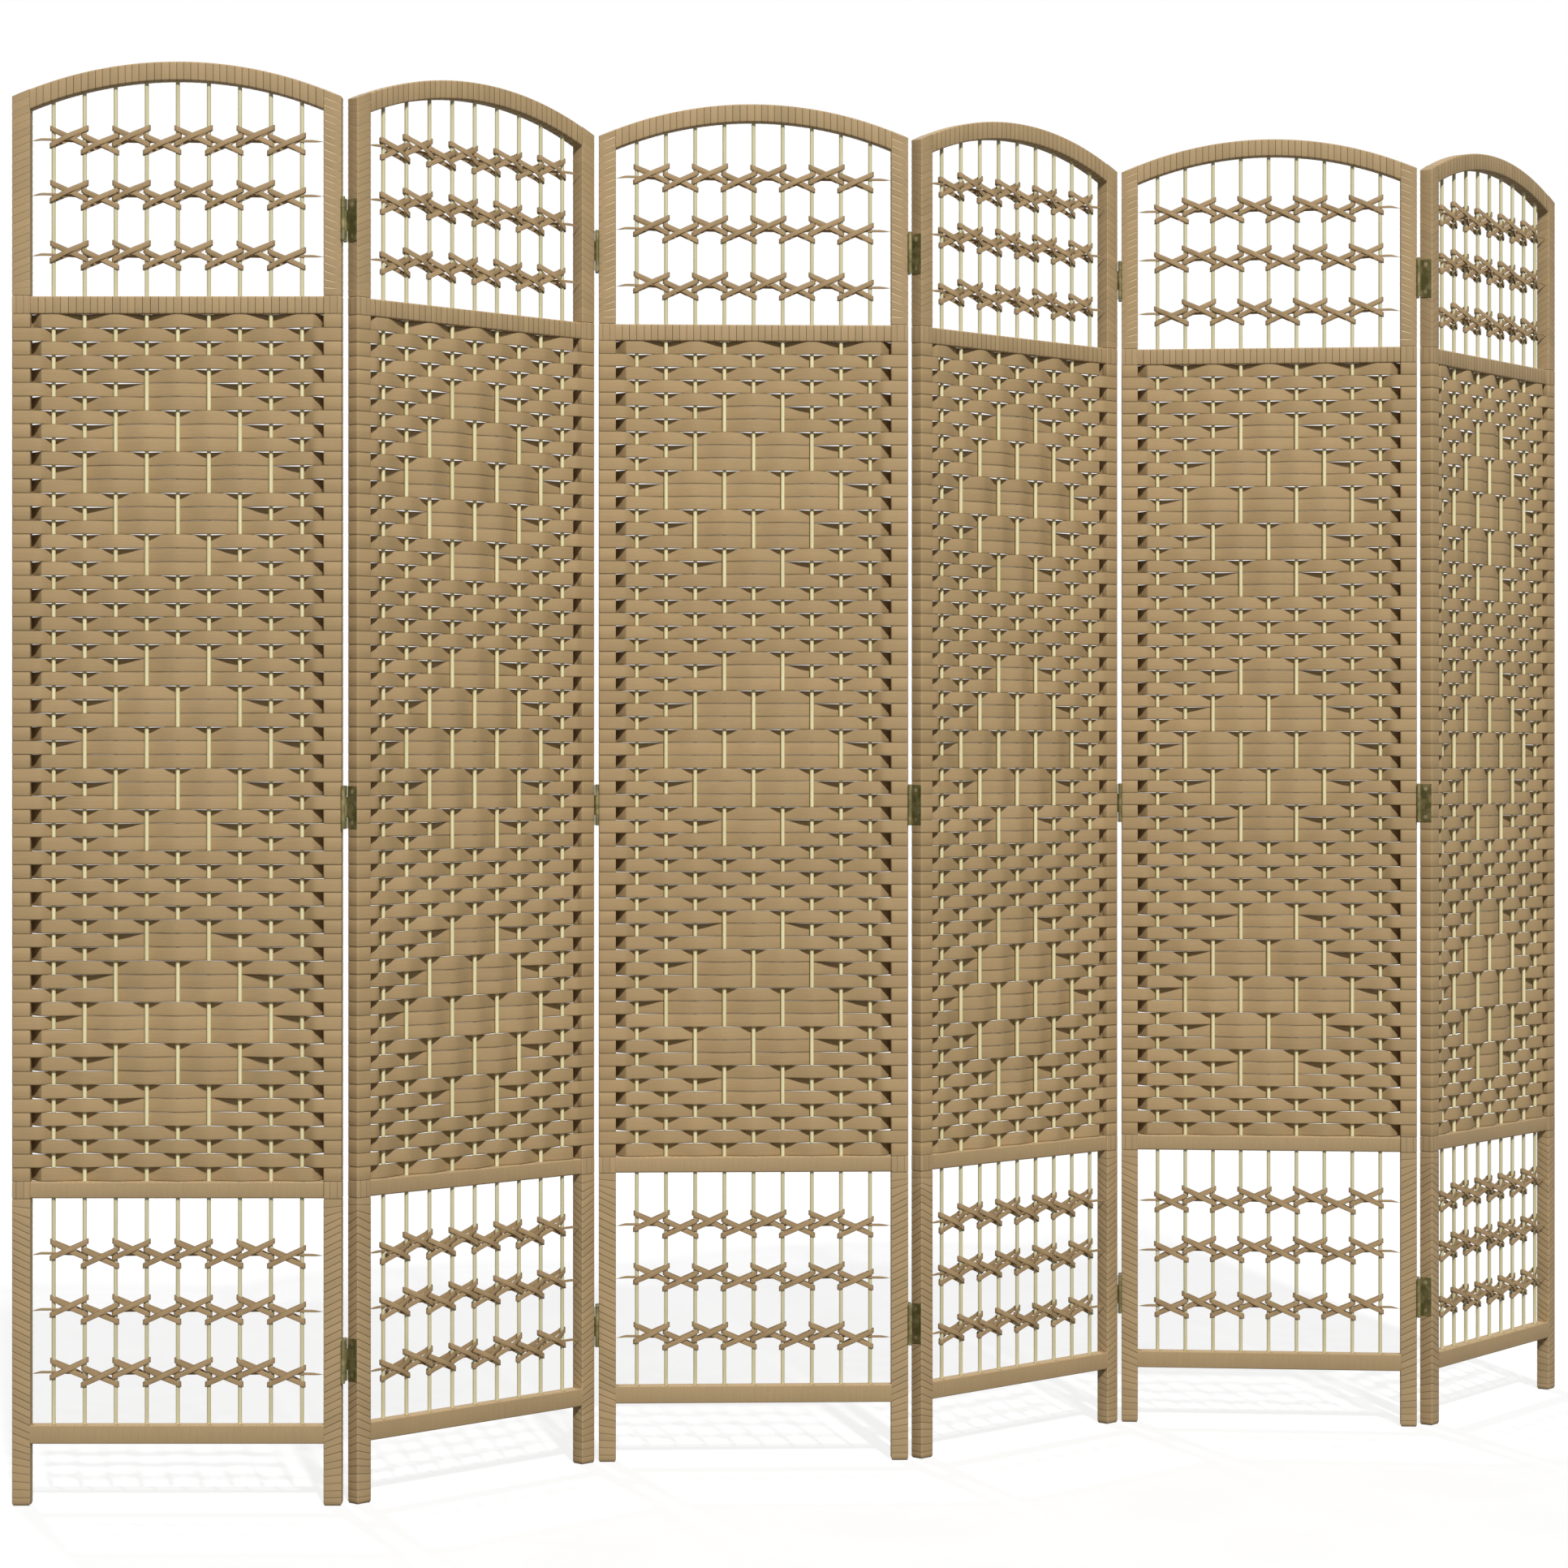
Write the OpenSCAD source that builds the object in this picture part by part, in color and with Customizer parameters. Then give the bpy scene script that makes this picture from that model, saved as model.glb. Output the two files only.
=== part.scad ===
// Six-panel folding screen: wood frames bound with paper-fibre band, woven strips and tied rows
// on thin rods, and three two-way hinges in each of the five hinge lines.
// Millimetres, +Z up. Panel 1 stands along +X and the front of the screen faces -Y.

/* [Screen] */
// number of panels
panels = 6; // [2:1:6]
// width of one panel over its two stiles
panel_w = 388; // [300:1:500]
// height at the crown of the arch
panel_h = 1700; // [1500:1:1900]
// thickness of the frame, front to back
frame_t = 18; // [14:0.5:30]
// how far each hinge line is folded as the screen stands, in degrees
fold_angles = [46.7, 44.5, 43.7, 51.7, 60.5]; // [0:0.1:90]

/* [Frame] */
// front width of a stile
stile_w = 21.5; // [18:0.5:40]
// bevel round the foot of a stile
foot_bevel = 2; // [0:0.5:4]
// outer radius of the arched top
arch_r = 476; // [400:1:900]
// depth of the arched rail
arch_depth = 22.4; // [16:0.1:40]
// underside of the bottom rail above the floor
bottom_rail_z = 73; // [40:1:120]
// height of the bottom rail
bottom_rail_h = 22; // [16:0.5:40]
// underside of the lower mid rail
lower_rail_z = 361.5; // [250:0.5:500]
// height of the lower mid rail
lower_rail_h = 20; // [14:0.5:40]
// underside of the upper mid rail
upper_rail_z = 1403; // [1200:1:1500]
// height of the upper mid rail
upper_rail_h = 21; // [14:0.5:40]
// thickness of the two mid rails, front to back
mid_rail_t = 12; // [10:0.5:18]

/* [Rods] */
// rods in a panel
rods = 9; // [5:2:13]
// rod diameter
rod_d = 4.8; // [3:0.1:8]
// distance from rod to rod
rod_pitch = 36.6; // [20:0.1:60]
// depth of the sockets for the rod ends
rod_socket = 9; // [5:0.5:14]
// radial play of a rod in its holes
rod_play = 0.05; // [0.02:0.01:0.1]

/* [Weave] */
// woven strips in a panel
strips = 63; // [20:1:90]
// thickness of a strip
strip_t = 1; // [0.6:0.1:1.6]
// slit between two strips
strip_slit = 0.3; // [0.1:0.05:1]
// space between a strip and the rod that it passes
strip_play = 1.5; // [0.3:0.1:3]
// how far past the stile a strip runs before it bends
bend_play = 0.2; // [0.1:0.05:1]
// number of plain strips above the first diamond
strips_above = 4; // [0:1:10]
// number of blocks in a diamond, from its top to its bottom
diamond_blocks = 5; // [3:2:9]
// number of strips in a block
block_strips = 3; // [3:1:5]
// number of strips from one diamond to the next
diamond_step = 20; // [15:1:30]

/* [Ties] */
// heights of the tied rows, bottom window then top window
tie_rows = [156, 230, 296, 1472.5, 1543.6, 1608]; // [100:0.1:1650]
// width of the tying band
tie_h = 5.7; // [3:0.1:9]
// width of the straight band behind the rods
back_band_h = 3.4; // [2:0.1:6]
// thickness of the tying band
tie_t = 0.8; // [0.4:0.1:1.2]
// rise of a crossed arm from end to end
tie_rise = 20.4; // [10:0.1:30]
// how far an arm runs past its rod
tie_past = 3.7; // [2:0.1:6]
// distance from the rod's axis to the turn of a ribbon
tie_turn = 1; // [0.5:0.1:3]
// space between a ribbon and the rod or ribbon behind it
tie_play = 0.05; // [0.02:0.01:0.2]
// height of a raised cross above its row, and of a lowered one below it
tie_shift = 4.7; // [2:0.1:8]
// panels whose tied rows start with a raised cross on the left
raised_left = [1, 3]; // [1:1:6]

/* [Hinges] */
// heights of the hinges
hinge_rows = [170, 822, 1515]; // [80:1:1600]
// gap between the edges of two panels that stand in line
hinge_gap = 4; // [3.5:0.1:10]
// distance of a pin's axis from the panel's face
pin_out = 2; // [1:0.5:5]
// pin diameter
pin_d = 2; // [1.5:0.1:5]
// radial play of a pin in its barrel
pin_play = 0.05; // [0.02:0.01:0.1]
// outer diameter of a barrel or knuckle
knuckle_d = 5; // [4:0.1:6]
// height of a hinge leaf
leaf_h = 50; // [40:1:80]
// thickness of a leaf
leaf_t = 0.8; // [0.6:0.1:2]
// bare border of the frame's edge beside a leaf
leaf_border = 1; // [0:0.5:3]
// height of the leaf's barrel
barrel_h = 25; // [15:1:40]
// height of a link strap
strap_h = 12; // [8:0.5:20]
// gap above and below a barrel
barrel_gap = 0.3; // [0.1:0.1:1]
// thickness of a strap between its two knuckles
strap_t = 1.8; // [1:0.1:3.4]
// diameter and height of a pin's head
pin_head = [4.2, 0.8]; // [0.5:0.1:6]
// distance of a screw from the middle of its leaf
screw_z = 18.5; // [10:0.5:24]
// screw head diameter, shank diameter and length in the wood
screw = [5.4, 2.6, 13]; // [2:0.1:20]

/* [Colours] */
// wound frame
band_colour = [0.68, 0.57, 0.42];
// woven strips and ties
strip_colour = [0.66, 0.55, 0.40];
// rods
rod_colour = [0.87, 0.83, 0.69];
// hinges
bronze_colour = [0.36, 0.33, 0.21];

/* [Hidden] */
$fn = 48;
arch_fn = 180;
eps = 0.5;
rod_r = rod_d / 2;
rod_y = frame_t / 2;
inner_w = panel_w - 2 * stile_w;
arch_z = panel_h - arch_r;
weave_low = lower_rail_z + lower_rail_h;
weave_top = upper_rail_z;
strip_pitch = (weave_top - weave_low) / strips;
bottom_rail_top = bottom_rail_z + bottom_rail_h;
pin_r = pin_d / 2;
pin_spread = frame_t / 2 + pin_out;
knuckle_r = knuckle_d / 2;
leaf_w = frame_t - 2 * leaf_border;
strap_z = barrel_h / 2 + barrel_gap;

// the height of a circle of radius r about the arch's centre, at x across the panel
function arc_z(x, r) = arch_z + sqrt(r * r - pow(x - panel_w / 2, 2));
function rod_x(i) = panel_w / 2 + rod_pitch * (i - (rods + 1) / 2);

// the turn of each panel and the place of its front left corner, worked along the chain
function along(a) = [cos(a), sin(a)];
function across(a) = [-sin(a), cos(a)];
function folds_back(line) = line % 2 == 1;
function turn(n) = n == 1 ? 0 : turn(n - 1) + (folds_back(n - 1) ? 1 : -1) * fold_angles[n - 2];
function pin_y(line) = folds_back(line) ? frame_t + pin_out : -pin_out;
function pin_at(line) =
    corner(line)
    + (panel_w + hinge_gap / 2) * along(turn(line))
    + pin_y(line) * across(turn(line));
function corner(n) =
    n == 1 ? [0, 0]
    : pin_at(n - 1) + hinge_gap / 2 * along(turn(n)) - pin_y(n - 1) * across(turn(n));

// the whole screen is centred on its own outline on the floor
x_high = corner(panels)[0] + panel_w * cos(turn(panels));
y_high = corner(panels)[1] + panel_w * sin(turn(panels)) + frame_t * cos(turn(panels));
y_low = -pin_out - knuckle_r;
middle = [x_high / 2, (y_high + y_low) / 2];

// strips: where each passes the rods
half_diamond = (diamond_blocks - 1) / 2;
function diamond_row(row) = (row - strips_above - 1) % diamond_step;
function in_block(row) =
    row > strips_above
    && diamond_row(row) < diamond_blocks * block_strips
    && diamond_row(row) % block_strips == 1;
function block_kind(row) =
    half_diamond - abs(half_diamond - floor(diamond_row(row) / block_strips));
function block_front(kind, off) =
    off % (half_diamond + 1) == kind || (kind == half_diamond && off == 0);
function rod_off(i) = abs(i - (rods + 1) / 2);
function in_front(row, i) =
    in_block(row) ? block_front(block_kind(row), rod_off(i)) : (row + i) % 2 == 0;

// a band of even thickness along a line of points, with mitred bends
function unit(v) = v / norm(v);
function left_of(v) = [-v[1], v[0]];
function normal_at(p, i) =
    i == 0 ? left_of(unit(p[1] - p[0]))
    : i == len(p) - 1 ? left_of(unit(p[i] - p[i - 1]))
    : let (a = left_of(unit(p[i] - p[i - 1])), b = left_of(unit(p[i + 1] - p[i])))
      (a + b) / (1 + a * b);
function side(p, d) = [for (i = [0:len(p) - 1]) p[i] + d * normal_at(p, i)];
function band(p, t) =
    let (q = side(p, -t / 2))
    concat(side(p, t / 2), [for (i = [len(q) - 1:-1:0]) q[i]]);

strip_off = rod_r + strip_play + strip_t / 2;
bend_x = stile_w + bend_play;
function face_y(front) = front ? strip_t / 2 : frame_t - strip_t / 2;
function strip_end(front) = [[0, face_y(front)], [bend_x, face_y(front)]];
function mirrored(p) = [for (i = [len(p) - 1:-1:0]) [panel_w - p[i][0], p[i][1]]];
function strip_line(row) =
    let (over = !in_front(row, 1))
    concat(
        strip_end(over),
        [for (i = [1:rods]) [rod_x(i), rod_y + (in_front(row, i) ? -1 : 1) * strip_off]],
        mirrored(strip_end(over))
    );

// ties: a ribbon zigzags from rod to rod and steps down or up where it turns round one
function cross_z(i) = (i % 2 == 1 ? 1 : -1) * tie_shift;
tie_lean = tie_rise / (rod_pitch + 2 * tie_past);
tie_half = tie_rise / 2 - tie_past * tie_lean;
function tie_end(i, at_right, up) =
    let (outermost = at_right ? i == rods - 1 : i == 1)
    [
        rod_x(at_right ? i + 1 : i)
        + (at_right ? -1 : 1) * (outermost ? -tie_past : tie_turn),
        cross_z(i) + up * (outermost ? tie_rise / 2 : tie_half)
    ];
function ribbon(start_up) = [
    for (i = [1:rods - 1])
        let (up = (i % 2 == 1 ? 1 : -1) * start_up)
        for (at_right = [false, true])
            tie_end(i, at_right, at_right ? -up : up)
];

module at_panel(n) {
    translate([corner(n)[0] - middle[0], corner(n)[1] - middle[1], 0])
        rotate([0, 0, turn(n)])
            children();
}

// a hinge's own middle, seen from the panel on its left and from the one on its right
module right_hinges() {
    for (z = hinge_rows)
        translate([panel_w + hinge_gap / 2, frame_t / 2, z])
            children();
}

module left_hinges() {
    for (z = hinge_rows)
        translate([-hinge_gap / 2, frame_t / 2, z])
            rotate([0, 0, 180])
                children();
}

module arch_disc(r) {
    translate([panel_w / 2, -eps, arch_z])
        rotate([-90, 0, 0])
            cylinder(r = r, h = frame_t + 2 * eps, $fn = arch_fn);
}

// rods with a radial allowance, for their holes
module rod_set(play, low, top_gap) {
    for (i = [1:rods])
        translate([rod_x(i), rod_y, low])
            cylinder(
                r = rod_r + play,
                h = arc_z(rod_x(i), arch_r - arch_depth) + rod_socket - top_gap - low
            );
}

module stile_bar() {
    difference() {
        translate([0, frame_t, 0])
            rotate([90, 0, 0])
                linear_extrude(frame_t)
                    polygon([
                        [foot_bevel, 0],
                        [stile_w - foot_bevel, 0],
                        [stile_w, foot_bevel],
                        [stile_w, panel_h],
                        [0, panel_h],
                        [0, foot_bevel]
                    ]);
        difference() {
            translate([-eps, -eps, arch_z + arch_r / 2])
                cube([stile_w + 2 * eps, frame_t + 2 * eps, arch_r]);
            arch_disc(arch_r);
        }
        for (y = [-eps, frame_t - strip_t])
            translate([-eps, y, weave_low])
                cube([stile_w + 2 * eps, strip_t + eps, weave_top - weave_low]);
    }
}

module screw_shape() {
    rotate([0, 90, 0])
        union() {
            cylinder(d1 = screw[1], d2 = screw[0], h = leaf_t);
            translate([0, 0, -screw[2]])
                cylinder(d = screw[1], h = screw[2] + leaf_t / 2);
        }
}

// the two screws of a leaf, in the hinge's own place
module leaf_screws() {
    for (s = [-1, 1])
        translate([-hinge_gap / 2, 0, s * screw_z])
            screw_shape();
}

module left_stile(n) {
    color(band_colour)
        at_panel(n)
            difference() {
                stile_bar();
                if (n > 1)
                    left_hinges()
                        leaf_screws();
            }
}

module right_stile(n) {
    color(band_colour)
        at_panel(n)
            difference() {
                translate([panel_w, 0, 0])
                    mirror([1, 0, 0])
                        stile_bar();
                if (n < panels)
                    right_hinges()
                        leaf_screws();
            }
}

module rail(z, h, t) {
    translate([stile_w, (frame_t - t) / 2, z])
        cube([inner_w, t, h]);
}

module arch() {
    difference() {
        intersection() {
            rail(arch_z + arch_r / 2, arch_r, frame_t);
            arch_disc(arch_r);
        }
        arch_disc(arch_r - arch_depth);
    }
}

module rails(n) {
    color(band_colour)
        at_panel(n)
            difference() {
                union() {
                    rail(bottom_rail_z, bottom_rail_h, frame_t);
                    rail(lower_rail_z, lower_rail_h, mid_rail_t);
                    rail(upper_rail_z, upper_rail_h, mid_rail_t);
                    arch();
                }
                rod_set(rod_play, bottom_rail_top - rod_socket, 0);
            }
}

module rods_of(n) {
    color(rod_colour)
        at_panel(n)
            rod_set(0, bottom_rail_top - rod_socket, 0);
}

module weave(n) {
    color(strip_colour)
        at_panel(n)
            for (row = [1:strips])
                translate([0, 0, weave_top - row * strip_pitch + strip_slit / 2])
                    linear_extrude(strip_pitch - strip_slit)
                        polygon(band(strip_line(row), strip_t));
}

module ribbon_plate(start_up, y) {
    translate([0, y, 0])
        rotate([90, 0, 0])
            linear_extrude(tie_t)
                polygon(band(ribbon(start_up), tie_h));
}

// two ribbons cross in front of the rods, and a straight one runs behind them
module tie_row() {
    ribbon_plate(1, rod_y - rod_r - tie_play);
    ribbon_plate(-1, rod_y - rod_r - tie_t - 2 * tie_play);
    translate([stile_w, rod_y + rod_r + tie_play, -back_band_h / 2])
        cube([inner_w, tie_t, back_band_h]);
}

// the rows are tied from the left in some panels and from the right in the others
module ties(n) {
    from_right = len(search(n, raised_left)) == 0;
    color(strip_colour)
        at_panel(n)
            for (z = tie_rows)
                translate([from_right ? panel_w : 0, 0, z])
                    mirror([from_right ? 1 : 0, 0, 0])
                        tie_row();
}

// a leaf on the edge of the panel to the left of the hinge, curled round the front pin
module leaf() {
    difference() {
        union() {
            translate([-hinge_gap / 2, -leaf_w / 2, -leaf_h / 2])
                cube([leaf_t, leaf_w, leaf_h]);
            translate([-hinge_gap / 2, -pin_spread, -barrel_h / 2])
                cube([leaf_t, pin_spread, barrel_h]);
            translate([0, -pin_spread, -barrel_h / 2])
                cylinder(r = knuckle_r, h = barrel_h);
        }
        translate([0, -pin_spread, -leaf_h])
            cylinder(r = pin_r + pin_play, h = 2 * leaf_h);
        leaf_screws();
    }
}

module hinge_leaves(n) {
    color(bronze_colour)
        at_panel(n) {
            if (n > 1)
                left_hinges()
                    leaf();
            if (n < panels)
                right_hinges()
                    leaf();
        }
}

module screws(n) {
    color(bronze_colour)
        at_panel(n) {
            if (n > 1)
                left_hinges()
                    leaf_screws();
            if (n < panels)
                right_hinges()
                    leaf_screws();
        }
}

// the links of a line stand in line with the panel that isn't folded against them
module at_line(line) {
    at_panel(folds_back(line) ? line : line + 1)
        for (z = hinge_rows)
            translate([
                folds_back(line) ? panel_w + hinge_gap / 2 : -hinge_gap / 2,
                frame_t / 2,
                z
            ])
                children();
}

module strap() {
    difference() {
        union() {
            for (s = [-1, 1])
                translate([0, s * pin_spread, 0])
                    cylinder(r = knuckle_r, h = strap_h);
            translate([-strap_t / 2, -pin_spread, 0])
                cube([strap_t, 2 * pin_spread, strap_h]);
        }
        for (s = [-1, 1])
            translate([0, s * pin_spread, -eps])
                cylinder(r = pin_r, h = strap_h + 2 * eps);
    }
}

module hinge_links(line) {
    color(bronze_colour)
        at_line(line) {
            translate([0, 0, strap_z])
                strap();
            translate([0, 0, -strap_z - strap_h])
                strap();
        }
}

module hinge_pins(line) {
    reach = strap_z + strap_h;
    color(bronze_colour)
        at_line(line)
            for (s = [-1, 1])
                translate([0, s * pin_spread, 0]) {
                    translate([0, 0, -reach])
                        cylinder(r = pin_r, h = 2 * reach);
                    translate([0, 0, reach])
                        cylinder(d = pin_head[0], h = pin_head[1]);
                    translate([0, 0, -reach - pin_head[1]])
                        cylinder(d = pin_head[0], h = pin_head[1]);
                }
}

panel_pieces = [
    "left_stile", "right_stile", "rails", "rods", "weave", "ties", "hinge_leaves", "screws"
];

for (n = [1:panels]) {
    left_stile(n);
    right_stile(n);
    rails(n);
    rods_of(n);
    weave(n);
    ties(n);
    hinge_leaves(n);
    screws(n);
}
for (line = [1:panels - 1]) {
    hinge_links(line);
    hinge_pins(line);
}
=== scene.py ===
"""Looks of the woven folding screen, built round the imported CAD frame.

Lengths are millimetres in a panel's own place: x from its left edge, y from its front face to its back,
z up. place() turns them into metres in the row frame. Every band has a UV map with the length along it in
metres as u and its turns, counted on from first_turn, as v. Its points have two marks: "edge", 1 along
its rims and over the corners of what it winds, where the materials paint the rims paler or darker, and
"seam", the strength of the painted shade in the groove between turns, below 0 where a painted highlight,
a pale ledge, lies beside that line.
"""
import math

import bpy
import numpy as np
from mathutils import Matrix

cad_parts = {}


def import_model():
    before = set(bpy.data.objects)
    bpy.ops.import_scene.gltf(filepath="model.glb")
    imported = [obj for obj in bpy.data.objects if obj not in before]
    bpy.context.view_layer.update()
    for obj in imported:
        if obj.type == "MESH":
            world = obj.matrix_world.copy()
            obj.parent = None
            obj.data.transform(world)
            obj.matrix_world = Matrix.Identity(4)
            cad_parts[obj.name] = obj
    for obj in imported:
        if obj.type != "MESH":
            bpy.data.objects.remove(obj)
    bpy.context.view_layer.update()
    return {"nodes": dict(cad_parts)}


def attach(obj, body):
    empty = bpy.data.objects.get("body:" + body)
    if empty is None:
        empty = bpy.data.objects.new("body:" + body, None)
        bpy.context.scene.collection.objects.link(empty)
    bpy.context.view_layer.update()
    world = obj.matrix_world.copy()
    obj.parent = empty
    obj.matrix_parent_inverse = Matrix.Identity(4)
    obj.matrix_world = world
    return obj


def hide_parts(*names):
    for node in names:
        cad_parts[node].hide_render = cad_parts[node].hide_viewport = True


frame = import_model()

# the panels and their hinges, as in the solids
PANELS, ROWS, RODS = 6, 63, 9
PANEL_W, FRAME_T, STILE_W, PANEL_H = 388.0, 18.0, 21.5, 1700.0
FOLDS = (46.7, 44.5, 43.7, 51.7, 60.5)
ARCH_R, ARCH_DEPTH = 476.0, 22.4
ARCH_Z = PANEL_H - ARCH_R
BOTTOM_RAIL, LOWER_RAIL, UPPER_RAIL = (73.0, 95.0), (361.5, 381.5), (1403.0, 1424.0)
MID_RAIL_T, FOOT_BEVEL = 12.0, 2.0
HINGE_GAP, PIN_OUT, KNUCKLE_R = 4.0, 2.0, 2.5
ROD_PITCH, ROD_Y = 36.6, 9.0
ROD_X = PANEL_W / 2 + ROD_PITCH * (np.arange(1, RODS + 1) - (RODS + 1) / 2)

# the winding of the frame: a turn's width, the stiles' corners, the groove at a seam and half its width in
# turns, the places of the rings in a turn, and the height over which the turns lean towards the arch
TURN_W = 8.8
CORNER_R = 1.3
SEAM_GROOVE, SEAM_HALF = 0.2, 0.05
TURN_SAMPLES = np.array([0.0, 0.045, 0.11, 0.34, 0.62, 0.88, 0.955])
TOP_LEAN = 70.0
# the height that a rail's section is drawn with, and how far its winding runs into the stiles
RAIL_UNIT = 20.0
RAIL_OVERLAP = 0.6

# the weave: a strip's thickness, its distance from a rod's middle and the play in it, the drop and the
# rise of its upper rim, the gap between rows, and how far it bulges between two rods
WEAVE_LOW, WEAVE_TOP = LOWER_RAIL[1], UPPER_RAIL[0]
ROW_H = (WEAVE_TOP - WEAVE_LOW) / ROWS
STRIP_T, STRIP_OFF, STRIP_PLAY = 1.0, 5.0, 0.25
SLIT, RIM_RISE = 0.5, 0.25
ROW_GAP, BULGE = 0.08, 0.5
# where a strip starts on the stile's inner side, by whether it goes round the back, the reach of its bends,
# and how far from the stile's edge it ends
WRAP_START = {True: 10.5, False: 7.5}
WRAP_BEND, WRAP_END = 1.6, 2.0

# the tied rows: a loop's rise, its reach past a rod and its shift up or down, a band's size, and the loops'
# (radius round a rod, bow between rods)
TIE_ROWS = (156.0, 230.0, 296.0, 1472.5, 1543.6, 1608.0)
TIE_RISE, TIE_PAST, TIE_SHIFT = 20.6, 3.7, 4.3
TIE_H, TIE_T = 6.4, 0.8
OUTER_LOOP, INNER_LOOP = (4.3, 4.9), (3.7, 3.9)
# the straight band: where it bends near a stile, its distance from the rods' middle at the rods and at its
# ends, its height over the row at places across the panel, and the panels that have it raised on the left
STRAIGHT_ENDS = np.array([STILE_W - 0.3, STILE_W + 5, STILE_W + 14])
STRAIGHT_OFF, STRAIGHT_END_OFF = 2.85, 3.4
STRAIGHT_X = (STILE_W + 2, STILE_W + 12, STILE_W + 26, STILE_W + 44,
              PANEL_W - STILE_W - 14, PANEL_W - STILE_W - 3)
STRAIGHT_RISE = (-1.1, 0.8, 0.6, -1.2, -1.3, -2.0)
RAISED_LEFT = (1, 3)


# where each panel stands

def turned(x, y, angle):
    """(x, y) turned by an angle about +Z."""
    return np.array([x * math.cos(angle) - y * math.sin(angle), x * math.sin(angle) + y * math.cos(angle)])


def chain():
    """Turn and front left corner of every panel, panel after panel round the pins that they fold on."""
    turns, corners = [0.0], [np.zeros(2)]
    for line, fold in enumerate(FOLDS, start=1):
        here = math.radians(turns[-1])
        turns.append(turns[-1] + (fold if line % 2 else -fold))
        there = math.radians(turns[-1])
        pin_y = FRAME_T + PIN_OUT if line % 2 else -PIN_OUT
        pin = corners[-1] + turned(PANEL_W + HINGE_GAP / 2, pin_y, here)
        corners.append(pin + turned(HINGE_GAP / 2, -pin_y, there))
    return [math.radians(turn) for turn in turns], corners


TURNS, CORNERS = chain()
FAR = CORNERS[-1] + turned(PANEL_W, 0, TURNS[-1])
MIDDLE = np.array([FAR[0], FAR[1] + FRAME_T * math.cos(TURNS[-1]) - PIN_OUT - KNUCKLE_R]) / 2


def place(panel, points):
    """Points (..., 3) of a panel in millimetres, as metres in the row frame."""
    angle, corner = TURNS[panel - 1], CORNERS[panel - 1] - MIDDLE
    x, y = points[..., 0], points[..., 1]
    return np.stack([
        corner[0] + x * math.cos(angle) - y * math.sin(angle),
        corner[1] + x * math.sin(angle) + y * math.cos(angle),
        points[..., 2],
    ], axis=-1) / 1000


# meshes from grids of points

def smooth(x):
    """3x² - 2x³ of x held between 0 and 1."""
    x = np.clip(x, 0, 1)
    return x * x * (3 - 2 * x)


def closed_tubes(points, uv, edge, seam=1.0):
    """Tubes (k, n, m, 3) as arrays: n rings of m points, each ring closed on itself and both ends capped.
    All faces are turned round if the first tube's normals point inwards."""
    k, n, m, _ = points.shape
    index = np.arange(k * n * m).reshape(k, n, m)
    beside = np.roll(index, -1, axis=2)
    quads = np.stack([index[:, :-1], beside[:, :-1], beside[:, 1:], index[:, 1:]], axis=-1)
    quad_uv = np.stack([uv[:, :-1, :-1], uv[:, :-1, 1:], uv[:, 1:, 1:], uv[:, 1:, :-1]], axis=-2)
    flat = points.reshape(-1, 3)
    corners = flat[quads[0].reshape(-1, 4)]
    normal = np.cross(corners[:, 2] - corners[:, 0], corners[:, 3] - corners[:, 1])
    centre = np.repeat((points[0, :-1] + points[0, 1:]).mean(axis=1) / 2, m, axis=0)
    caps = np.stack([index[:, 0, ::-1], index[:, -1]], axis=1)
    cap_uv = np.stack([uv[:, 0, -2::-1], uv[:, -1, :-1]], axis=1)
    if np.sum(normal * (corners.mean(axis=1) - centre)) < 0:
        quads, quad_uv = quads[..., ::-1], quad_uv[..., ::-1, :]
        caps, cap_uv = caps[..., ::-1], cap_uv[..., ::-1, :]
    return {
        "co": flat,
        "edge": np.broadcast_to(edge, (k, n, m)).reshape(-1),
        "seam": np.broadcast_to(seam, (k, n, m)).reshape(-1),
        "loops": np.concatenate([quads.reshape(-1), caps.reshape(-1)]),
        "uv": np.concatenate([quad_uv.reshape(-1, 2), cap_uv.reshape(-1, 2)]),
        "sizes": np.concatenate([np.full(quads.size // 4, 4), np.full(2 * k, m)]),
    }


def piece(name, parts, body, material, stands_for):
    """One object that rides a body, from the arrays that closed_tubes() makes."""
    mesh = bpy.data.meshes.new(name)
    bases = np.cumsum([0] + [len(part["co"]) for part in parts])
    loops = np.concatenate([part["loops"] + base for part, base in zip(parts, bases)])
    sizes = np.concatenate([part["sizes"] for part in parts])
    mesh.vertices.add(int(bases[-1]))
    mesh.vertices.foreach_set("co", np.concatenate([part["co"] for part in parts]).astype(np.float32).ravel())
    mesh.loops.add(len(loops))
    mesh.loops.foreach_set("vertex_index", loops.astype(np.int32))
    mesh.polygons.add(len(sizes))
    mesh.polygons.foreach_set("loop_start", (np.cumsum(sizes) - sizes).astype(np.int32))
    mesh.update(calc_edges=True)
    layer = mesh.uv_layers.new(name="band")
    layer.data.foreach_set("uv", np.concatenate([part["uv"] for part in parts]).astype(np.float32).ravel())
    for mark in ("edge", "seam"):
        values = np.concatenate([part[mark] for part in parts]).astype(np.float32)
        mesh.attributes.new(mark, "FLOAT", "POINT").data.foreach_set("value", values)
    mesh.validate()
    mesh.shade_smooth()
    mesh.set_sharp_from_angle(angle=math.radians(38))
    mesh.materials.append(material)
    obj = bpy.data.objects.new(name, mesh)
    bpy.context.scene.collection.objects.link(obj)
    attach(obj, body)
    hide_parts(*stands_for)


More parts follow.
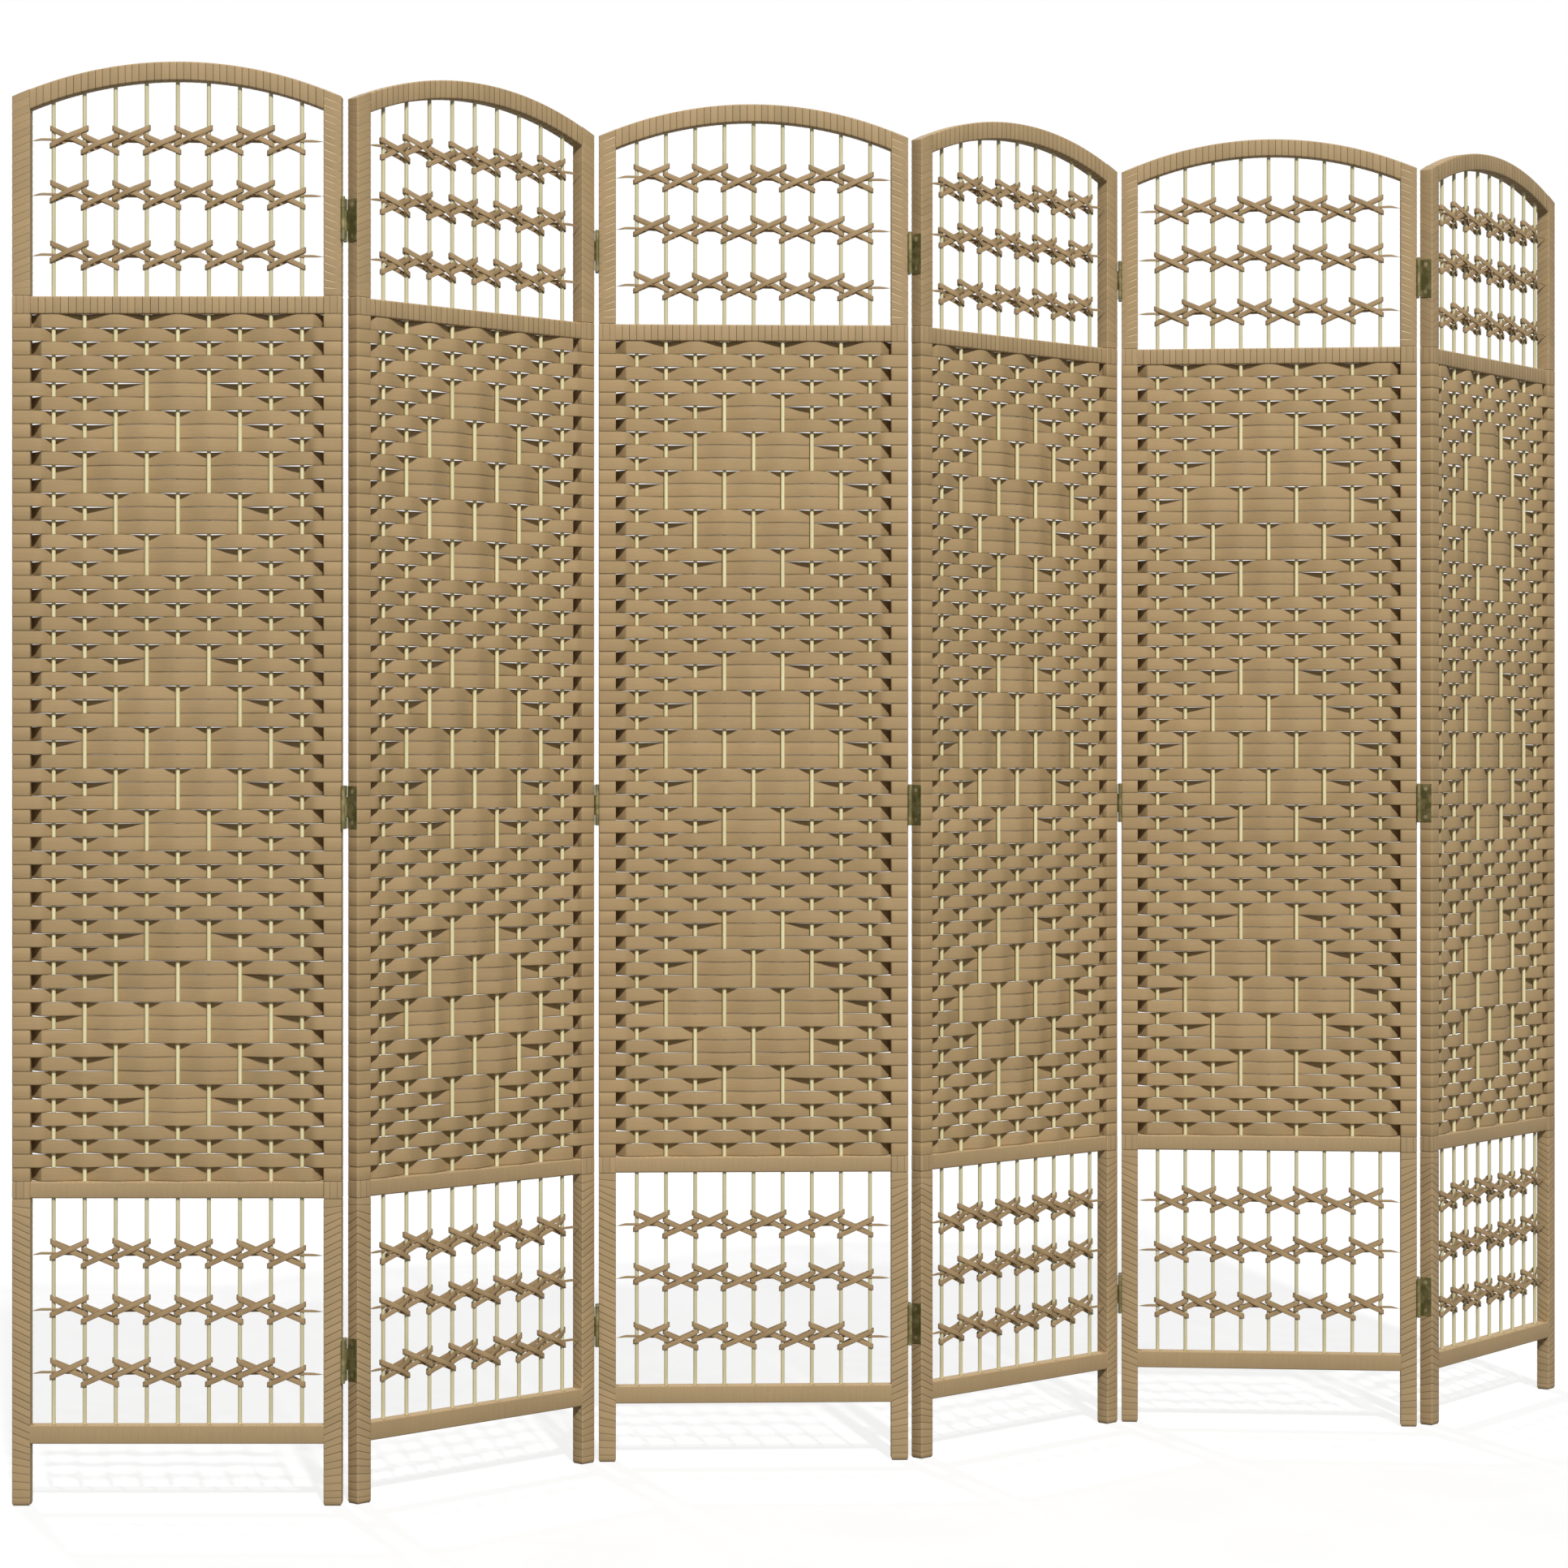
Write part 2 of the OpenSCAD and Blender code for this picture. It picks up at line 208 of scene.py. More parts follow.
def rounded_section(w, t, r, arc=4):
    """Points (m, 2), outward normals and edge marks of a w by t rectangle with corners of radius r: arc
    points round each corner and one in the middle of each side."""
    points, normals, marks = [], [], []
    for cx, cy, start in ((w - r, r, -90), (w - r, t - r, 0), (r, t - r, 90), (r, r, 180)):
        for i in range(arc):
            a = math.radians(start + 90 * i / (arc - 1))
            points.append((cx + r * math.cos(a), cy + r * math.sin(a)))
            normals.append((math.cos(a), math.sin(a)))
            marks.append(0.0 if i in (0, arc - 1) else 1.0)
        a = math.radians(start + 90)
        points.append(None)
        normals.append((math.cos(a), math.sin(a)))
        marks.append(0.0)
    for i, point in enumerate(points):
        if point is None:
            before, after = points[i - 1], points[(i + 1) % len(points)]
            points[i] = ((before[0] + after[0]) / 2, (before[1] + after[1]) / 2)
    return np.array(points), np.array(normals), np.array(marks)


def perimeter(points):
    """Length run round a closed section, with the whole of it as the last value."""
    steps = np.linalg.norm(np.roll(points, -1, axis=0) - points, axis=1)
    return np.concatenate([[0], np.cumsum(steps)])


def turn_steps(length, pitch, rng, jitter=0.1):
    """Turn coordinate v and distance along the member for every ring, seven rings in a turn."""
    turns = max(1, round(length / pitch))
    widths = 1 + jitter * rng.uniform(-1, 1, turns)
    ends = np.concatenate([[0], np.cumsum(widths)]) * length / widths.sum()
    v = np.concatenate([(np.arange(turns)[:, None] + TURN_SAMPLES).ravel(), [turns]])
    return v, np.interp(v, np.arange(turns + 1), ends)


def turn_depth(v, groove, tilt):
    """How far a ring lies below the outer face: groove exp(-(d/0.05)²) at a distance d from a seam, and
    tilt f up a turn, or -tilt (1 - f) where tilt is negative."""
    f = v % 1
    d = np.minimum(f, 1 - f)
    return groove * np.exp(-(d / SEAM_HALF) ** 2) + tilt * (f if tilt > 0 else f - 1)


# the wound frame

def wound_stile(side, z0, z1, rng, first_turn, rise, fades, end_inset, foot=0.0, top=None,
                groove=SEAM_GROOVE, tilt=0.16, glint=False, dark=0.8):
    """A length of stile with its band's turns as rings.

    Ring v lies at z = b(v) + rise w(b) (q - 1/2), where q is (1-A)(1-B) + AB of the ring's place A
    across the front and B from front to back, so the seams form a chevron at each corner, and w fades
    it out towards the ends. Where top is given, the last rings lean to z = top(x). The lowest rings are
    drawn in by up to foot, as the solid's foot is, and the first and the last one by end_inset. Seams get
    painted shade of strength dark (w + 1)/2, and on the front face, where glint is set, -1 for a painted
    highlight beside them.
    """
    points, normals, marks = rounded_section(STILE_W, FRAME_T, CORNER_R)
    share_a, share_b = points[:, 0] / STILE_W, points[:, 1] / FRAME_T
    lean = (1 - share_a) * (1 - share_b) + share_a * share_b
    v, along = turn_steps(z1 - z0, TURN_W, rng)
    base = z0 + along
    fade = smooth((base - z0) / fades[0]) * smooth((z1 - base) / fades[1])
    z = base[:, None] + (rise * fade)[:, None] * (lean - 0.5)
    depth = turn_depth(v, groove, tilt)
    depth[0] += end_inset[0]
    depth[-1] += end_inset[1]
    depth = depth[:, None] + np.clip(foot - (base - z0), 0, foot)[:, None]
    section = points[None] - normals[None] * depth[..., None]
    if top is not None:
        near = smooth((base - z1 + TOP_LEAN) / TOP_LEAN)[:, None]
        z = z + near * (top(section[..., 0]) - z1)
    x = section[..., 0] if side == "left" else PANEL_W - section[..., 0]
    ring = np.stack([x, section[..., 1], z], axis=-1)
    uv = np.empty((len(v), len(points) + 1, 2))
    uv[..., 0] = perimeter(points) / 1000
    uv[..., 1] = (first_turn + v)[:, None]
    # painted shade in the seam grooves; where glint is set, a painted highlight (seam -1) beside them on the front
    # face
    front_face = (points[:, 1] < 0.1) & (points[:, 0] > STILE_W / 4)
    seam = np.where(front_face & glint, -1.0, dark * (fade[:, None] * 0.5 + 0.5))
    return ring[None], uv[None], marks, seam


def plain_stile(side, z0, z1, first_turn, inset, seams):
    """A length of stile with upright seams TURN_W apart round it, seams times 0.2 exp(-(d/0.05)²) deep,
    and its face inset from the stile's. The ends are rounded off over 1.6 mm."""
    points, normals, marks = rounded_section(STILE_W, FRAME_T, CORNER_R, arc=5)
    v = perimeter(points) / TURN_W
    rise = np.array([0.0, 0.6, 1.6, (z1 - z0) / 2, z1 - z0 - 1.6, z1 - z0 - 0.6, z1 - z0])
    ends = np.array([0.6, 0.15, 0, 0, 0, 0.15, 0.6])
    depth = inset + ends[:, None] + seams * turn_depth(v[:-1], SEAM_GROOVE, 0.05)[None]
    section = points[None] - normals[None] * depth[..., None]
    x = section[..., 0] if side == "left" else PANEL_W - section[..., 0]
    z = np.broadcast_to((z0 + rise)[:, None], x.shape)
    uv = np.empty((len(rise), len(points) + 1, 2))
    uv[..., 0] = ((z0 + rise) / 1000)[:, None]
    uv[..., 1] = first_turn + v
    return np.stack([x, section[..., 1], z], axis=-1)[None], uv[None], marks, 1.0


def arch_outer(x):
    """Height of the arch's top at x across the panel."""
    return ARCH_Z + np.sqrt(ARCH_R ** 2 - (x - PANEL_W / 2) ** 2)


def arch_inner(x):
    """Height of the arch's underside at x across the panel."""
    return ARCH_Z + np.sqrt((ARCH_R - ARCH_DEPTH) ** 2 - (x - PANEL_W / 2) ** 2)


def level(z):
    """The height z at every x."""
    return lambda x: np.full(np.shape(x), float(z))


def wound_rail(low, high, thickness, rng, first_turn, pitch, groove, r=2.2, dark=1.6, painted_seam_glints=False):
    """A rail with its band's turns as rings at x = a(v), between the heights low(x) and high(x): the halves
    of a section of RAIL_UNIT height move to them. Its seams get painted shade of strength dark; if the last
    argument is set, its front upper rim gets a painted highlight, a pale dot, at each seam instead."""
    x0, x1 = STILE_W - RAIL_OVERLAP, PANEL_W - STILE_W + RAIL_OVERLAP
    v, along = turn_steps(x1 - x0, pitch, rng)
    x = x0 + along
    unit, normals, marks = rounded_section(RAIL_UNIT, thickness, r)
    depth = turn_depth(v, groove, 0.1 if groove > 0.1 else 0.02)
    section = unit[None] - normals[None] * depth[:, None, None]
    middle, half = (high(x) + low(x)) / 2, (high(x) - low(x)) / 2
    apart = np.sign(unit[:, 0] - RAIL_UNIT / 2) * (half[:, None] - RAIL_UNIT / 2)
    z = middle[:, None] + apart + section[..., 0] - RAIL_UNIT / 2
    y = section[..., 1] + (FRAME_T - thickness) / 2
    uv = np.empty((len(v), len(unit) + 1, 2))
    uv[..., 0] = perimeter(unit) / 1000
    uv[..., 1] = (first_turn + v)[:, None]
    # pale dots at the seams along the front upper rim are a painted highlight; the other seam points get painted
    # shade
    front_rim = (unit[:, 0] > RAIL_UNIT / 2) & (unit[:, 1] < 0.3 * r) & (marks > 0)
    seam = np.where(front_rim & painted_seam_glints, -1.0, dark)
    return np.stack([np.broadcast_to(x[:, None], y.shape), y, z], axis=-1)[None], uv[None], marks, seam


def frame_parts(panel, rng):
    """The tubes of both stiles and of the rails of a panel. A stile is wound across below and above the
    mid rails, and has upright seams at them and, under the weave, between them."""
    def tubes(members):
        return [closed_tubes(place(panel, points), uv, marks, seam) for points, uv, marks, seam in members]

    stiles = {}
    z_top = float(arch_outer(STILE_W / 2))
    for side, first in (("left", 0), ("right", 400)):
        turn = panel * 1000 + first
        # glint: painted highlights beside the seams on these top stiles' front faces; the dark values set the
        # painted shade in the seam grooves
        glint = panel % 2 == 1 and (panel, side) != (1, "left")
        stiles[side] = tubes([
            wound_stile(side, 0, LOWER_RAIL[0] - 0.4, rng, turn, rise=10.5, fades=(110, 30),
                        end_inset=(0, 0.7), foot=FOOT_BEVEL, dark=1.7),
            plain_stile(side, LOWER_RAIL[0] - 0.2, LOWER_RAIL[1], turn + 60, inset=0.05, seams=0.3),
            plain_stile(side, LOWER_RAIL[1], UPPER_RAIL[0], turn + 70, inset=STRIP_T + 0.1, seams=0.3),
            plain_stile(side, UPPER_RAIL[0], UPPER_RAIL[1] + 0.2, turn + 80, inset=0.05, seams=0.5),
            wound_stile(side, UPPER_RAIL[1] + 0.4, z_top, rng, turn + 90, rise=-9.0, fades=(30, 70),
                        end_inset=(0.7, 0.3), top=arch_outer, groove=0.05, tilt=-0.3, glint=glint, dark=1.1),
        ])
    turn = panel * 1000 + 800
    # the rails' seams get painted shade; the two lower rails also get painted highlight dots at their seams
    rails = tubes([
        wound_rail(level(BOTTOM_RAIL[0]), level(BOTTOM_RAIL[1]), FRAME_T, rng, turn,
                   pitch=8.6, groove=0.03, r=1.6, dark=0.12, painted_seam_glints=True),
        wound_rail(level(LOWER_RAIL[0]), level(LOWER_RAIL[1]), MID_RAIL_T, rng, turn + 50,
                   pitch=8.6, groove=0.03, dark=0.12, painted_seam_glints=True),
        wound_rail(level(UPPER_RAIL[0]), level(UPPER_RAIL[1]), MID_RAIL_T, rng, turn + 100,
                   pitch=TURN_W, groove=SEAM_GROOVE),
        wound_rail(arch_inner, arch_outer, FRAME_T, rng, turn + 150, pitch=8.7, groove=0.3),
    ])
    return stiles, rails


# bands

BAND_SECTION = np.array([
    [-0.1, -0.5], [-0.36, -0.475], [-0.56, -0.39], [-0.56, 0.39], [-0.36, 0.475], [-0.1, 0.5],
    [0.2, 0.5], [0.5, 0.46], [0.5, -0.46], [0.2, -0.5],
])
# rim marks of a band's section: the strip and tie materials darken them as painted shade along the band's edges
BAND_EDGE = np.array([1, 0.5, 0, 0, 0.5, 1, 1, 0, 0, 1])


def rounded_path(points, reach, steps=3):
    """Paths (k, n, 2) with each inner corner P rounded: with A and B the points at reach before and after
    it, the curve is (1-t)² A + 2t(1-t) P + t² B."""
    out = [points[:, :1]]
    t = np.linspace(0, 1, steps + 1)[None, :, None]
    for i in range(1, points.shape[1] - 1):
        here = points[:, i:i + 1]
        back, ahead = points[:, i - 1:i] - here, points[:, i + 1:i + 2] - here
        start = here + back / np.linalg.norm(back, axis=-1, keepdims=True) * reach[i]
        end = here + ahead / np.linalg.norm(ahead, axis=-1, keepdims=True) * reach[i]
        out.append((1 - t) ** 2 * start + 2 * t * (1 - t) * here + t ** 2 * end)
    out.append(points[:, -1:])
    return np.concatenate(out, axis=1)


def path_run(path):
    """Length run along each of the paths (k, n, 2)."""
    steps = np.linalg.norm(np.diff(path, axis=1), axis=-1)
    return np.concatenate([np.zeros((len(path), 1)), np.cumsum(steps, axis=1)], axis=1)


def band_tubes(path, z, height, thickness, wave, first_turn):
    """Flat bands (k, n) along plan paths: with (a, b) the section's points, a point lies at the path plus
    thickness a along its normal, and at z + height b + low wave (1/2 - b) + high wave (1/2 + b)."""
    k, n, _ = path.shape
    tangent = np.gradient(path, axis=1)
    tangent /= np.linalg.norm(tangent, axis=-1, keepdims=True)
    normal = np.stack([-tangent[..., 1], tangent[..., 0]], axis=-1)
    a, b = BAND_SECTION[:, 0], BAND_SECTION[:, 1]
    plan = path[:, :, None] + normal[:, :, None] * (thickness * a)[None, None, :, None]
    height = np.broadcast_to(height, (k, n))[..., None]
    up = z[:, :, None] + height * b + wave[0][:, :, None] * (0.5 - b) + wave[1][:, :, None] * (0.5 + b)
    uv = np.empty((k, n, len(a) + 1, 2))
    uv[..., 0] = (path_run(path) / 1000)[:, :, None]
    uv[..., 1] = (first_turn + np.arange(k))[:, None, None] + np.append(b, b[0]) + 0.5
    return np.concatenate([plan, up[..., None]], axis=-1), uv, BAND_EDGE


def ripple(rng, run, size, count=5):
    """Slow waves along bands: a sum of sines of random length, strength and phase."""
    total = np.zeros(run.shape)
    for _ in range(count):
        length, phase = rng.uniform(18, 130, (len(run), 1)), rng.uniform(0, 2 * math.pi, (len(run), 1))
        total += rng.uniform(0.3, 1, (len(run), 1)) * np.sin(2 * math.pi * run / length + phase)
    return size * total / count


# the weave

def in_front(row, rod):
    """Whether a strip passes in front of a rod: plain weave, with a diamond of five blocks now and then."""
    step = (row - 5) % 20
    if row > 4 and step < 15 and step % 3 == 1:
        kind = 2 - abs(2 - step // 3)
        off = abs(rod - (RODS + 1) // 2)
        return off % 3 == kind or (kind == 2 and off == 0)
    return (row + rod) % 2 == 0


def swing(t):
    """Way from one knot (t = 0) to the next (t = 1): 0.5 t + 0.25 (1 - cos(pi t))."""
    return 0.5 * t + 0.25 * (1 - np.cos(math.pi * t))


def wraps(over):
    """Plan points (rows, 5, 2) of each strip's wrap: from the left stile's inner side round its back, or
    round its front where over is False, to the other face near the edge towards the rods."""
    near, far = STRIP_T / 2, FRAME_T - STRIP_T / 2
    out, inside = STRIP_T / 2, STILE_W - STRIP_T / 2

    def wrap(back):
        first, last = (far, near) if back else (near, far)
        return [(inside, WRAP_START[back]), (inside, first), (out, first), (out, last),
                (STILE_W - WRAP_END, last)]

    return np.where(over[:, None, None], np.array([wrap(True)]), np.array([wrap(False)]))


def weave_parts(panel, rng):
    """All strips of a panel: from stile to stile past the rods, and round both stiles.

    Between the knots, which are the stiles' inner sides and the rods, y goes from one side to the other
    as swing(t). It does so in the first half of the way from a stile when the strip stays in front there,
    and otherwise in the last 65%. Where it stays on one side of two rods it bulges by 0.5 sin²(pi t).
    The upper rim drops by SLIT behind a rod that the row above passes in front of.
    """
    rows = np.arange(1, ROWS + 1)
    front = np.array([[in_front(row, rod) for rod in range(1, RODS + 1)] for row in rows])
    left, right = wraps(~front[:, 0]), wraps(~front[:, -1])[:, ::-1].copy()
    right[..., 0] = PANEL_W - right[..., 0]

    # across the rods
    peaks = ROD_Y + np.where(front, -STRIP_OFF, STRIP_OFF) + rng.uniform(-STRIP_PLAY, STRIP_PLAY, front.shape)
    knots = np.concatenate([[STILE_W], ROD_X, [PANEL_W - STILE_W]])
    at_knots = np.concatenate([left[:, -1:, 1], peaks, right[:, :1, 1]], axis=1)
    t = np.linspace(0, 1, 7)[:-1]
    share = np.broadcast_to(swing(t), (ROWS, RODS + 1, len(t))).copy()
    share[:, 0] = swing(np.clip(np.where(front[:, :1], t / 0.5, (t - 0.35) / 0.65), 0, 1))
    share[:, -1] = 1 - swing(np.clip(np.where(front[:, -1:], (1 - t) / 0.5, (0.65 - t) / 0.65), 0, 1))
    x = (knots[:-1, None] + np.diff(knots)[:, None] * t).ravel()
    y = (at_knots[:, :-1, None] + np.diff(at_knots, axis=1)[..., None] * share).reshape(ROWS, -1)
    sides = np.sign(at_knots - ROD_Y)
    one_side = np.repeat(sides[:, 1:] + sides[:, :-1], len(t), axis=1) / 2
    between_rods = (x > ROD_X[0]) & (x < ROD_X[-1])
    y += one_side * BULGE * np.tile(np.sin(math.pi * t) ** 2, len(knots) - 1) * between_rods
    x, y = np.append(x, knots[-1]), np.concatenate([y, at_knots[:, -1:]], axis=1)

    # with the wraps, and the waves of both rims
    bends = np.array([0, WRAP_BEND, WRAP_BEND, WRAP_BEND, 0])
    left, right = (rounded_path(part, bends) for part in (left, right))
    path = np.concatenate([left, np.stack([np.broadcast_to(x, y.shape), y], axis=-1), right], axis=1)
    run = path_run(path)
    above = np.concatenate([front[:1], front[:-1]])
    rim = np.where(above & ~front, -SLIT, np.where(front & ~above, RIM_RISE, 0.0))
    rim = np.pad(rim, ((0, 0), (1, 1)))
    rim = rim[:, :-1, None] + np.diff(rim, axis=1)[..., None] * smooth(t)
    rim = np.pad(rim.reshape(ROWS, -1), ((0, 0), (left.shape[1], right.shape[1] + 1)))
    z = np.broadcast_to((WEAVE_TOP - (rows - 0.5) * ROW_H)[:, None], run.shape)
    wave = (ripple(rng, run, 0.12), ripple(rng, run, 0.12) + rim)
    points, uv, edge = band_tubes(path, z, ROW_H - ROW_GAP, STRIP_T, wave, panel * 100)
    return [closed_tubes(place(panel, points), uv, edge)]


# the tied rows

def loop_round(xa, xb, reach, bow):
    """Plan path (n, 2) of a loop round two rods: arcs of radius reach about each, joined by y = reach +
    bow sin²(pi t) on either side, and its last end lapped over its first behind the left rod."""
    turn, t = np.radians(np.linspace(0, 180, 7)), np.linspace(0, 1, 9)[1:-1]
    side_x, side_y = xa + (xb - xa) * t, reach + bow * np.sin(math.pi * t) ** 2
    left = np.stack([xa - reach * np.sin(turn), ROD_Y + reach * np.cos(turn)], axis=-1)
    right = np.stack([xb + reach * np.sin(turn), ROD_Y - reach * np.cos(turn)], axis=-1)
    front, back = np.stack([side_x, ROD_Y - side_y], axis=-1), np.stack([side_x, ROD_Y + side_y], axis=-1)
    lap = left[:2] + [[0, 0.9], [-0.4, 0.9]]
    return np.concatenate([left, front, right, back[::-1], lap])


def crossed_loops(panel, rng):
    """A leaning loop each way round every pair of rods, one over the other, in turn higher and lower:
    z = row ± TIE_SHIFT ± TIE_RISE/2 times the way from the loop's middle to its end."""
    loops, centres, ups = [], [], []
    for row_z in TIE_ROWS:
        for i in range(1, RODS):
            for up, (reach, bow) in ((1, OUTER_LOOP), (-1, INNER_LOOP)):
                loops.append(loop_round(ROD_X[i - 1], ROD_X[i], reach, bow))
                centres.append(row_z + (TIE_SHIFT if i % 2 else -TIE_SHIFT) + rng.uniform(-0.5, 0.5))
                ups.append(up * rng.uniform(0.96, 1.04))
    path = np.array(loops)
    x = path[..., 0]
    middle = (x.max(axis=1) + x.min(axis=1))[:, None] / 2
    lean = np.array(ups)[:, None] * TIE_RISE / 2 * (x - middle) / (ROD_PITCH / 2 + TIE_PAST)
    wave = (ripple(rng, x, 0.12, 3), ripple(rng, x, 0.12, 3))
    return band_tubes(path, np.array(centres)[:, None] + lean, TIE_H, TIE_T, wave, panel * 1000 + 500)


def straight_bands(panel, rng):
    """The band from stile to stile between the loops' strands, in front of and behind the rods in turn. It
    is 0.35 + 2.7 s^0.6 mm high, s going from 0 at 2.5 mm from the stiles to 1 at 12.5 mm."""
    offs = np.where(np.arange(RODS) % 2, STRAIGHT_OFF, -STRAIGHT_OFF)
    end_offs = np.full(len(STRAIGHT_ENDS), -STRAIGHT_END_OFF)
    xs = np.concatenate([STRAIGHT_ENDS, ROD_X, PANEL_W - STRAIGHT_ENDS[::-1]])
    ys = np.concatenate([end_offs, offs, end_offs]) + ROD_Y
    lines = np.repeat(np.stack([xs, ys], axis=-1)[None], len(TIE_ROWS), axis=0)
    path = rounded_path(lines, np.full(len(xs), 3.0), steps=2)
    x = path[..., 0]
    near = np.minimum(x - STILE_W, PANEL_W - STILE_W - x)
    z = np.array(TIE_ROWS)[:, None] + np.interp(x, STRAIGHT_X, STRAIGHT_RISE)
    height = 0.35 + 2.7 * np.clip((near - 2.5) / 10, 0, 1) ** 0.6
    wave = (ripple(rng, x, 0.1, 3), ripple(rng, x, 0.1, 3))
    return band_tubes(path, z, height, TIE_T, wave, panel * 1000 + 700)


def tie_parts(panel, rng):
    """The tied rows of the two windows. The panels outside RAISED_LEFT have them mirrored."""
    made = []
    for points, uv, edge in (crossed_loops(panel, rng), straight_bands(panel, rng)):
        if panel not in RAISED_LEFT:
            points[..., 0] = PANEL_W - points[..., 0]
        made.append(closed_tubes(place(panel, points), uv, edge))
    return made


# materials

def srgb(r, g, b):
    """A 0-255 sRGB colour as linear values with alpha."""
    def linear(c):
        c /= 255
        return c / 12.92 if c <= 0.04045 else ((c + 0.055) / 1.055) ** 2.4
    return linear(r), linear(g), linear(b), 1.0


class Graph:
    """Short ways to add nodes and links to a node tree."""

    def __init__(self, tree):
        self.tree = tree

    def add(self, kind, inputs=None, **settings):
        """A node of this kind; an input that is a socket is linked, and a number is set."""
        node = self.tree.nodes.new(kind)
        for key, value in settings.items():
            setattr(node, key, value)
        for key, value in (inputs or {}).items():
            self.give(node.inputs[key], value)
        return node

    def give(self, socket, value):
        """Links a socket to another one, or sets its number."""
        if isinstance(value, bpy.types.NodeSocket):
            self.tree.links.new(value, socket)
        else:
            socket.default_value = value

    def math(self, operation, *values, clamp=False):
        """The result of a math node."""
        return self.add("ShaderNodeMath", dict(enumerate(values)), operation=operation, use_clamp=clamp).outputs[0]

    def product(self, a, b):
        """a times b."""
        return self.math("MULTIPLY", a, b)

    def about_half(self, value, amount):
        """(value - 1/2) times an amount."""
        return self.product(self.math("SUBTRACT", value, 0.5), amount)

    def ease(self, value, low, high, out_low=0.0, out_high=1.0):
        """value eased from out_low at low to out_high at high."""
        return self.add("ShaderNodeMapRange", {
            "Value": value, "From Min": low, "From Max": high, "To Min": out_low, "To Max": out_high,
        }, interpolation_type="SMOOTHSTEP").outputs[0]

    def vector(self, x, y, z):
        """A vector of three values."""
        return self.add("ShaderNodeCombineXYZ", {0: x, 1: y, 2: z}).outputs[0]

    def stretched(self, vector, scales):
        """A vector times a scale on each axis."""
        return self.add("ShaderNodeVectorMath", {0: vector, 1: scales}, operation="MULTIPLY").outputs[0]

    def noise(self, vector, scale, detail=2.0, roughness=0.5):
        """A noise texture's value."""
        return self.add("ShaderNodeTexNoise", {
            "Vector": vector, "Scale": scale, "Detail": detail, "Roughness": roughness,
        }).outputs["Fac"]

    def mix(self, factor, a, b, blend="MIX"):
        """Colour a mixed with b. A colour mix has its factor and colours at sockets 0, 6 and 7."""
        node = self.add("ShaderNodeMix", data_type="RGBA", blend_type=blend)
        for number, value in ((0, factor), (6, a), (7, b)):
            self.give(node.inputs[number], value)
        return node.outputs[2]

    def tinted(self, colour, tint):
        """A colour times a tint."""
        return self.mix(1.0, colour, tint, "MULTIPLY")

    def bump(self, height, strength, distance):
        """The surface normal over a height, whose whole range is this distance in metres."""
        return self.add("ShaderNodeBump", {
            "Strength": strength, "Distance": distance, "Height": height}).outputs[0]

    def surface(self, **inputs):
        """A Principled shader with these inputs, as the material's surface. Spaces are written as _."""
        shader = self.add("ShaderNodeBsdfPrincipled", {key.replace("_", " "): v for key, v in inputs.items()})
        self.add("ShaderNodeOutputMaterial", {"Surface": shader.outputs[0]})


def new_material(name):
    """An empty material with nodes, and the graph to fill it with."""
    material = bpy.data.materials.new(name)
    material.use_nodes = True
    material.node_tree.nodes.clear()
    return material, Graph(material.node_tree)


